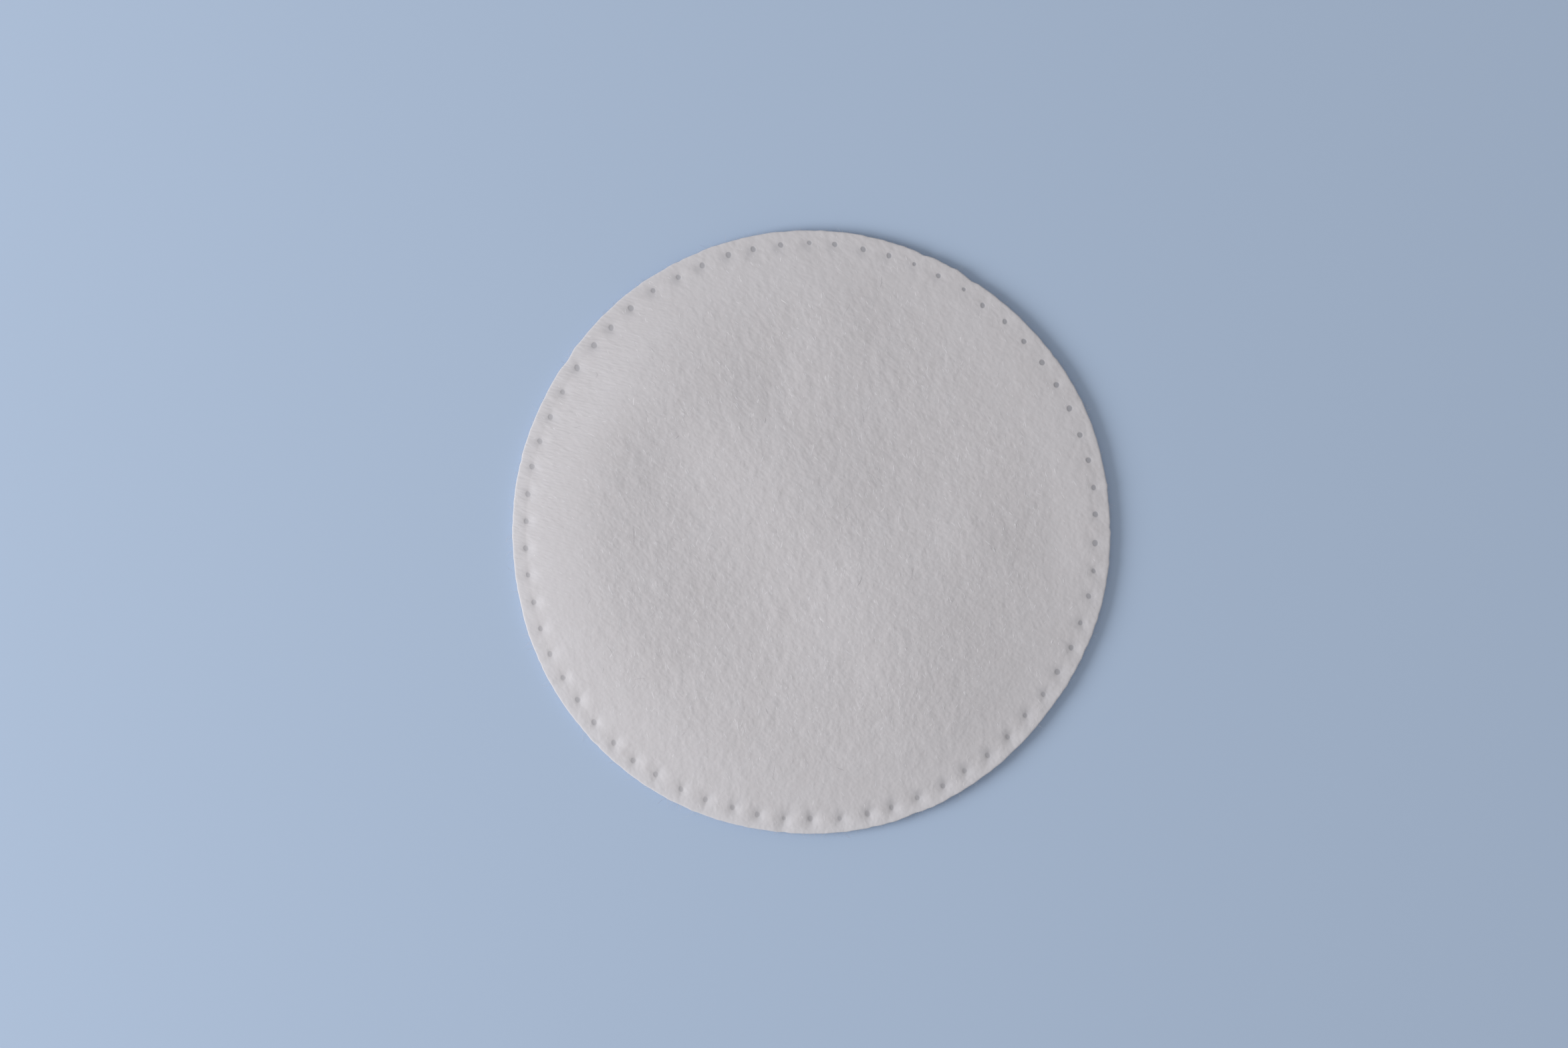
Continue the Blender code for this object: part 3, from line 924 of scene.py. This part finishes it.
class Fibres:
    """Random loose fibres of the pad, from one seed."""

    def __init__(self, sizes, seed):
        self.sizes = sizes
        self.chance = np.random.default_rng(seed)
        self.middle = blank_middle(sizes)

    def spread(self, usual, spread, count):
        """Sizes round a usual one, with a long tail above it."""
        return usual * self.chance.lognormal(0, spread, count)

    def laid(self, x, y, height):
        """Points of the blank in the frame's place."""
        return np.stack([x + self.middle[0], y + self.middle[1], height], axis=-1)

    def on_face(self, name, felt, count, length, thickness, rise, scatter, flatness=1.0, steps=4):
        """Tubes that lie on the face: midlines walked from random places, laid on the finished surface,
        and arched by a sine as high as the fibre's own rise."""
        sizes, chance = self.sizes, self.chance
        reach = sizes.diameter / 2 - sizes.edge_rounding
        radius = reach * np.sqrt(chance.uniform(0, 1, count))
        radius = radius[chance.uniform(0, 1, count) > RIM_BARENESS * outer_share(radius)]
        count = len(radius)
        angle = chance.uniform(0, FULL_TURN, count)
        heading = chance.normal(0, scatter, count) + math.pi * chance.integers(0, 2, count)
        bend = chance.normal(0, BEND_SPREAD, count)
        own_length = self.spread(length, LENGTH_SPREAD, count)
        x, y = walked(radius * np.cos(angle), radius * np.sin(angle), heading, bend, own_length, steps)
        own_rise = self.spread(rise, RISE_SPREAD, count)
        own_thickness = self.spread(thickness, THICKNESS_SPREAD, count)
        tone = chance.uniform(0, 1, count)

        radius, angle = np.hypot(x, y), np.arctan2(y, x)
        along, inward = nearest_pit(radius, angle, sizes)[1:]
        clear = (np.hypot(along, inward) > PIT_CLEARANCE).all(axis=1) & (radius < reach).all(axis=1)
        radius, angle = radius[clear], angle[clear]
        own_thickness, own_rise = own_thickness[clear][:, None], own_rise[clear][:, None]
        height = face_surface(radius, angle, sizes, felt)[0]
        arch = np.sin(math.pi * np.linspace(0, 1, steps + 1))
        x, y = stretched(radius, angle, sizes)
        path = self.laid(x, y, height + own_rise * arch)
        width = own_thickness * (TIP_THICKNESS + (1 - TIP_THICKNESS) * arch)
        return tubes(name, path, width, tone[clear], flatness)

    def at_edge(self, name, count, length, thickness, steps=5):
        """Tubes that stand out of the cut edge: each starts in the wall, leaves it at a random angle,
        curls by a steady bend, and lifts or sinks a little."""
        sizes, chance = self.sizes, self.chance
        angle = chance.uniform(0, FULL_TURN, count)
        own_length = self.spread(length, EDGE_LENGTH_SPREAD, count).clip(max=EDGE_LENGTH_MOST * length)
        way = angle + chance.normal(0, EDGE_SPLAY, count).clip(-EDGE_SPLAY_MOST, EDGE_SPLAY_MOST)
        part = np.linspace(0, 1, steps + 1)[None, :]
        heading = way[:, None] + chance.normal(0, EDGE_CURL, count)[:, None] * part
        root = np.full(count, sizes.diameter / 2 - EDGE_ROOT_DEPTH)
        root_x, root_y = (place[:, None] for place in stretched(root, angle, sizes))
        own_length = own_length[:, None]
        stride = own_length / steps
        x = root_x + np.cumsum(np.cos(heading) * stride, axis=1) - np.cos(heading[:, :1]) * stride
        y = root_y + np.cumsum(np.sin(heading) * stride, axis=1) - np.sin(heading[:, :1]) * stride
        low = chance.uniform(*EDGE_LEVELS, count)[:, None] * (sizes.rim_thickness - sizes.edge_rounding)
        lift = chance.normal(0, EDGE_LIFT, count)[:, None] - EDGE_SAG * part
        height = low + own_length * part * lift
        width = self.spread(thickness, EDGE_THICKNESS_SPREAD, count)[:, None] * (1 - EDGE_TAPER * part)
        path = self.laid(x, y, np.maximum(height, thickness))
        return tubes(name, path, width, chance.uniform(0, 1, count))


def add_node(tree, kind, values=None, **settings):
    """Adds a shader node with its settings, and values or links for its inputs, by name or number."""
    node = tree.nodes.new(kind)
    for key, value in settings.items():
        setattr(node, key, value)
    for key, value in (values or {}).items():
        if isinstance(value, bpy.types.NodeSocket):
            tree.links.new(value, node.inputs[key])
        else:
            node.inputs[key].default_value = value
    return node


def maths(tree, operation, first, second=0.0, kind="Math"):
    """The output of a Math node, or a Vector Math node, with two inputs."""
    return add_node(tree, "ShaderNode" + kind, {0: first, 1: second}, operation=operation).outputs[0]


def noise(tree, place, scale, detail, roughness=0.5):
    """The value of a Noise Texture, from 0 to 1 round a half."""
    values = {"Vector": place, "Scale": scale, "Detail": detail, "Roughness": roughness}
    return add_node(tree, "ShaderNodeTexNoise", values).outputs["Fac"]


def blended(tree, factor, first, second):
    """The colour between two colours, or a number between two numbers, at a factor."""
    coloured = isinstance(first, bpy.types.NodeSocketColor) or not hasattr(first, "links")
    kind, places, result = ("RGBA", (6, 7), 2) if coloured else ("FLOAT", (2, 3), 0)
    values = {0: factor, places[0]: first, places[1]: second}
    return add_node(tree, "ShaderNodeMix", values, data_type=kind).outputs[result]


def shader_group(name, inputs, output, kind):
    """A shader node group with named input sockets and one output. Returns the group, its inputs' sockets
    and the socket that its result goes to."""
    group = bpy.data.node_groups.new(name, "ShaderNodeTree")
    for socket, socket_kind in inputs.items():
        group.interface.new_socket(name=socket, in_out="INPUT", socket_type="NodeSocket" + socket_kind)
    group.interface.new_socket(name=output, in_out="OUTPUT", socket_type="NodeSocket" + kind)
    return group, group.nodes.new("NodeGroupInput").outputs, group.nodes.new("NodeGroupOutput").inputs[0]


def brushed_streaks(name):
    """Group: heights of brushed fibre. It is the mean of two noises, each stretched along its own side of
    the combing and bent by a wider noise."""
    sockets = {"Vector": "Vector", "Width": "Float", "Length": "Float"}
    group, given, result = shader_group(name, sockets, "Height", "Float")
    grain_size = add_node(group, "ShaderNodeCombineXYZ", {0: given["Width"], 1: given["Length"], 2: 1.0})
    heights = []
    for layer, turn in enumerate((-STREAK_CROSSING, STREAK_CROSSING)):
        way = {"Vector": given["Vector"], "Angle": turn}
        turned = add_node(group, "ShaderNodeVectorRotate", way, rotation_type="Z_AXIS").outputs[0]
        grain = maths(group, "DIVIDE", turned, grain_size.outputs[0], "VectorMath")
        sway = maths(group, "MULTIPLY", noise(group, grain, SWAY_SCALE, SWAY_DETAIL), STREAK_SWAY)
        shift = {0: sway, 2: STREAK_SETS_APART * layer}
        shift = add_node(group, "ShaderNodeCombineXYZ", shift).outputs[0]
        bent = maths(group, "ADD", grain, shift, "VectorMath")
        heights.append(noise(group, bent, 1.0, STREAK_DETAIL, STREAK_DETAIL_SHARE))
    group.links.new(blended(group, 0.5, *heights), result)
    return group


def cotton_tone(name):
    """Group: colour of cotton. It leans to the pale fibre, the colour of fibres that catch the light, where
    the relief or a soft mottling is high, and further by a paleness that carries painted light; and to the
    pressed fibre, grey with painted shade, by a mask."""
    sockets = {"Cotton": "Color", "Pale Fibre": "Color", "Pressed Fibre": "Color"}
    sockets.update({"Height": "Float", "Paleness": "Float", "Pressed": "Float"})
    group, given, result = shader_group(name, sockets, "Colour", "Color")
    place = add_node(group, "ShaderNodeTexCoord").outputs["Object"]
    mottling = noise(group, place, MOTTLE_SCALE, MOTTLE_DETAIL, MOTTLE_ROUGHNESS)
    mottling = maths(group, "MULTIPLY", mottling, MOTTLE_LEAN)
    high = maths(group, "MULTIPLY", given["Height"], HEIGHT_LEAN)
    lean = maths(group, "SUBTRACT", maths(group, "ADD", mottling, high), LEAN_START)
    lean = maths(group, "ADD", lean, given["Paleness"])
    fibre = blended(group, lean, given["Cotton"], given["Pale Fibre"])
    group.links.new(blended(group, given["Pressed"], fibre, given["Pressed Fibre"]), result)
    return group


def cotton_roughness(name):
    """Group: roughness of cotton round a middle value, a little higher and lower with a fine noise."""
    group, given, result = shader_group(name, {"Middle": "Float"}, "Roughness", "Float")
    place = add_node(group, "ShaderNodeTexCoord").outputs["Object"]
    uneven = maths(group, "SUBTRACT", noise(group, place, ROUGHNESS_SCALE, ROUGHNESS_DETAIL), 0.5)
    change = maths(group, "MULTIPLY", uneven, ROUGHNESS_CHANGE)
    group.links.new(maths(group, "ADD", given["Middle"], change), result)
    return group


def placed_group(tree, build, values):
    """The output of a node group placed in a tree, with values or links for its inputs. The group has the
    name of the function that builds it, and is built once."""
    name = build.__name__.replace("_", " ")
    group = bpy.data.node_groups.get(name) or build(name)
    return add_node(tree, "ShaderNodeGroup", values, node_tree=group).outputs[0]


def attribute(tree, name, output="Fac"):
    """A value that the piece's mesh stores for each point."""
    return add_node(tree, "ShaderNodeAttribute", attribute_name=name).outputs[output]


def rgba(colour_value):
    return (*colour_value, 1.0)


def new_material(name):
    """A material, its node tree and its shader."""
    material = bpy.data.materials.new(name)
    material.use_nodes = True
    return material, material.node_tree, material.node_tree.nodes["Principled BSDF"]


def shaded(name, finish):
    """A material with a cotton shader. Returns the material, its node tree and the shader."""
    material, tree, shader = new_material(name)
    shader.inputs["IOR"].default_value = COTTON_IOR
    shader.inputs["Sheen Weight"].default_value = finish.sheen
    shader.inputs["Sheen Roughness"].default_value = SHEEN_ROUGHNESS
    roughness = placed_group(tree, cotton_roughness, {"Middle": finish.roughness})
    tree.links.new(roughness, shader.inputs["Roughness"])
    return material, tree, shader


def add_tone(tree, shader, finish, fibre, pale, masks):
    """Gives a shader the colour of cotton: between two colours of fibre, and the pressed one, by masks."""
    colours = {"Cotton": rgba(fibre), "Pale Fibre": rgba(pale), "Pressed Fibre": rgba(finish.pressed)}
    tone = placed_group(tree, cotton_tone, {**colours, **masks})
    tree.links.new(tone, shader.inputs["Base Color"])


def brushed_cotton(finish):
    """Finish of the web: streaks combed one way on the face and another over the left shoulder, as relief
    and as a faint change of colour, with grey on the pits' floors and beside them that is partly pressed
    fibre and partly painted shade, and painted light towards the rim and beside the pits."""
    material, tree, shader = shaded("brushed cotton", finish)
    sizes = {"Width": finish.streak_width, "Length": finish.streak_length}
    face, side = (
        placed_group(tree, brushed_streaks, {"Vector": attribute(tree, name, "Vector"), **sizes})
        for name in ("combed", "side_combed")
    )
    height = blended(tree, attribute(tree, "side_share"), face, side)
    # The pressed mask paints the pits' floors and their inner sides grey: pressed fibre and painted shade
    pressed = attribute(tree, "pressed")
    # The paleness carries the painted light
    masks = {"Height": height, "Paleness": attribute(tree, "painted_light"), "Pressed": pressed}
    add_tone(tree, shader, finish, finish.cotton, finish.pale_fibre, masks)
    relief = maths(tree, "MULTIPLY", height, attribute(tree, "brushed"))
    bump = add_node(tree, "ShaderNodeBump", {"Distance": finish.streak_relief, "Height": relief})
    tree.links.new(bump.outputs["Normal"], shader.inputs["Normal"])
    return material


def loose_cotton(finish):
    """Finish of the loose fibres: each has its own tone between the two cotton colours."""
    if "loose cotton fibre" in bpy.data.materials:
        return bpy.data.materials["loose cotton fibre"]
    material, tree, shader = shaded("loose cotton fibre", finish)
    height = maths(tree, "MULTIPLY", attribute(tree, "tone"), TONE_SPREAD)
    masks = {"Height": height, "Paleness": 0.0, "Pressed": 0.0}
    add_tone(tree, shader, finish, finish.pale_fibre, finish.loose_fibre, masks)
    return material


def plain_floor(studio):
    """Finish of the floor: one pale colour with a hardly visible cloudiness."""
    material, tree, shader = new_material("plain floor")
    shader.inputs["Roughness"].default_value = FLOOR_ROUGHNESS
    place = add_node(tree, "ShaderNodeTexCoord").outputs["Object"]
    cloud = noise(tree, place, CLOUD_SCALE, CLOUD_DETAIL)
    darker = rgba(CLOUD_DARKNESS * part for part in studio.floor)
    tree.links.new(blended(tree, cloud, darker, rgba(studio.floor)), shader.inputs["Base Color"])
    return material


def add_floor(studio):
    """A square floor at the height that the pad rests on."""
    half = studio.floor_width / 2
    corners = np.array([[-half, -half, 0], [half, -half, 0], [half, half, 0], [-half, half, 0]])
    floor = placed("floor", new_mesh("floor", corners, [np.array([[0, 1, 2, 3]])]))
    floor.data.materials.append(plain_floor(studio))


def add_lamp(studio):
    """A large soft lamp low on the left. Its light on a level surface is its power, times the sine of its
    height, over pi and the distance squared, and pi of that light shows a colour as it is written."""
    level, up = math.cos(LAMP_HEIGHT) * studio.key_distance, math.sin(LAMP_HEIGHT) * studio.key_distance
    place = Vector((level * math.cos(LAMP_DIRECTION), level * math.sin(LAMP_DIRECTION), up))
    light = bpy.data.lights.new("soft lamp", "AREA")
    light.shape = "DISK"
    light.size = studio.key_width
    wanted = studio.light_level * studio.key_share
    light.energy = wanted * math.pi**2 * studio.key_distance**2 / math.sin(LAMP_HEIGHT)
    lamp = placed("soft lamp", light)
    lamp.location = place
    lamp.rotation_euler = (-place).to_track_quat("-Z", "Y").to_euler()


def add_surroundings(studio):
    """Even light from all round, and a pale colour where the camera looks past the floor."""
    world = bpy.data.worlds.new("surroundings")
    world.use_nodes = True
    tree = world.node_tree
    tree.nodes.clear()
    even = add_node(tree, "ShaderNodeBackground", {"Color": (1.0, 1.0, 1.0, 1.0)})
    even.inputs["Strength"].default_value = studio.light_level * (1 - studio.key_share)
    seen = add_node(tree, "ShaderNodeBackground", {"Color": rgba(studio.background), "Strength": 1.0})
    path = add_node(tree, "ShaderNodeLightPath")
    straight = maths(tree, "MAXIMUM", path.outputs["Is Camera Ray"], path.outputs["Is Glossy Ray"])
    straight = maths(tree, "MAXIMUM", straight, path.outputs["Is Transmission Ray"])
    both = add_node(tree, "ShaderNodeMixShader", {0: straight, 1: even.outputs[0], 2: seen.outputs[0]})
    output = add_node(tree, "ShaderNodeOutputWorld", {"Surface": both.outputs[0]})
    output.is_active_output = True
    bpy.context.scene.world = world


def add_camera(sizes, studio):
    """A camera straight above, framed so that the pad has its photographed width and place."""
    scale = sizes.diameter / PAD_DIAMETER_IN_PHOTO
    middle_x, middle_y = blank_middle(sizes)
    data = bpy.data.cameras.new("camera")
    data.sensor_width = SENSOR_WIDTH
    data.lens = SENSOR_WIDTH * studio.camera_height / (PHOTO_WIDTH * scale)
    data.clip_start = NEAREST_SEEN
    camera = placed("camera", data)
    camera.location = (
        middle_x + (PHOTO_WIDTH / 2 - PAD_MIDDLE_ACROSS) * scale,
        middle_y - (PHOTO_HEIGHT / 2 - PAD_MIDDLE_DOWN) * scale,
        studio.camera_height,
    )
    bpy.context.scene.camera = camera


class BuildWeb(bpy.types.Operator):
    """Build the crimped and brushed web of the pad"""

    bl_idname = "cotton_pad.web"
    bl_label = "Web"

    def execute(self, context):
        scene = context.scene
        mesh = build_web(scene.pad_sizes, felt_field())
        web = show_piece("cotton_web", mesh, brushed_cotton(scene.cotton_finish))
        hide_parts("cotton_pad")
        return {"FINISHED"}


class BuildFaceFibres(bpy.types.Operator):
    """Scatter the combed tufts, the lying fibres and the raised fibres on the face"""

    bl_idname = "cotton_pad.face_fibres"
    bl_label = "Face Fibres"

    def execute(self, context):
        scene = context.scene
        sizes = scene.fibre_sizes
        material = loose_cotton(scene.cotton_finish)
        felt = felt_field()
        loose = Fibres(scene.pad_sizes, FACE_FIBRE_SEED)
        tufts = (sizes.tuft_count, sizes.tuft_length, sizes.tuft_thickness)
        lying = (sizes.lying_count, sizes.lying_length, sizes.lying_thickness)
        raised = (sizes.raised_count, sizes.raised_length, sizes.fine_thickness)
        kinds = {"combed_tufts": (*tufts, TUFT_RISE, TUFT_SCATTER, TUFT_FLATNESS)}
        for layer in range(sizes.lying_layers):
            kinds[f"lying_fibres_{layer + 1}"] = (*lying, LYING_RISE, LYING_SCATTER, LYING_FLATNESS)
        kinds["raised_fibres"] = (*raised, sizes.raised_height, RAISED_SCATTER)
        for name, kind in kinds.items():
            show_piece(name, loose.on_face(name, felt, *kind), material)
        return {"FINISHED"}


class BuildEdgeFibres(bpy.types.Operator):
    """Add the loose fibres that stand out of the cut edge"""

    bl_idname = "cotton_pad.edge_fibres"
    bl_label = "Edge Fibres"

    def execute(self, context):
        scene = context.scene
        sizes = scene.fibre_sizes
        loose = Fibres(scene.pad_sizes, EDGE_FIBRE_SEED)
        mesh = loose.at_edge("edge_fibres", sizes.edge_count, sizes.edge_length, sizes.fine_thickness)
        show_piece("edge_fibres", mesh, loose_cotton(scene.cotton_finish))
        return {"FINISHED"}


class BuildStage(bpy.types.Operator):
    """Add the floor, the soft light and the camera"""

    bl_idname = "cotton_pad.stage"
    bl_label = "Stage"

    def execute(self, context):
        scene = context.scene
        add_floor(scene.studio_sizes)
        add_lamp(scene.studio_sizes)
        add_surroundings(scene.studio_sizes)
        add_camera(scene.pad_sizes, scene.studio_sizes)
        scene.view_settings.view_transform = "Standard"
        return {"FINISHED"}


class CottonPadPanel(bpy.types.Panel):
    """Sizes, colours and builders of the pad"""

    bl_idname = "VIEW3D_PT_cotton_pad"
    bl_label = "Cotton Pad"
    bl_space_type = "VIEW_3D"
    bl_region_type = "UI"
    bl_category = "Cotton Pad"

    def draw(self, context):
        for operator in OPERATORS:
            self.layout.operator(operator.bl_idname)
        for name in PROPERTY_GROUPS:
            box = self.layout.box()
            group = getattr(context.scene, name)
            for key in group.__annotations__:
                box.prop(group, key)


OPERATORS = (BuildWeb, BuildFaceFibres, BuildEdgeFibres, BuildStage)
PROPERTY_GROUPS = {
    "pad_sizes": PadSizes,
    "cotton_finish": CottonFinish,
    "fibre_sizes": FibreSizes,
    "studio_sizes": StudioSizes,
}
CLASSES = (*PROPERTY_GROUPS.values(), *OPERATORS, CottonPadPanel)


def register():
    for item in CLASSES:
        bpy.utils.register_class(item)
    for name, group in PROPERTY_GROUPS.items():
        setattr(bpy.types.Scene, name, bpy.props.PointerProperty(type=group))


def unregister():
    for name in PROPERTY_GROUPS:
        delattr(bpy.types.Scene, name)
    for item in reversed(CLASSES):
        bpy.utils.unregister_class(item)


def main():
    register()
    bpy.ops.cotton_pad.web()
    bpy.ops.cotton_pad.face_fibres()
    bpy.ops.cotton_pad.edge_fibres()
    bpy.ops.cotton_pad.stage()


if __name__ == "__main__":
    main()
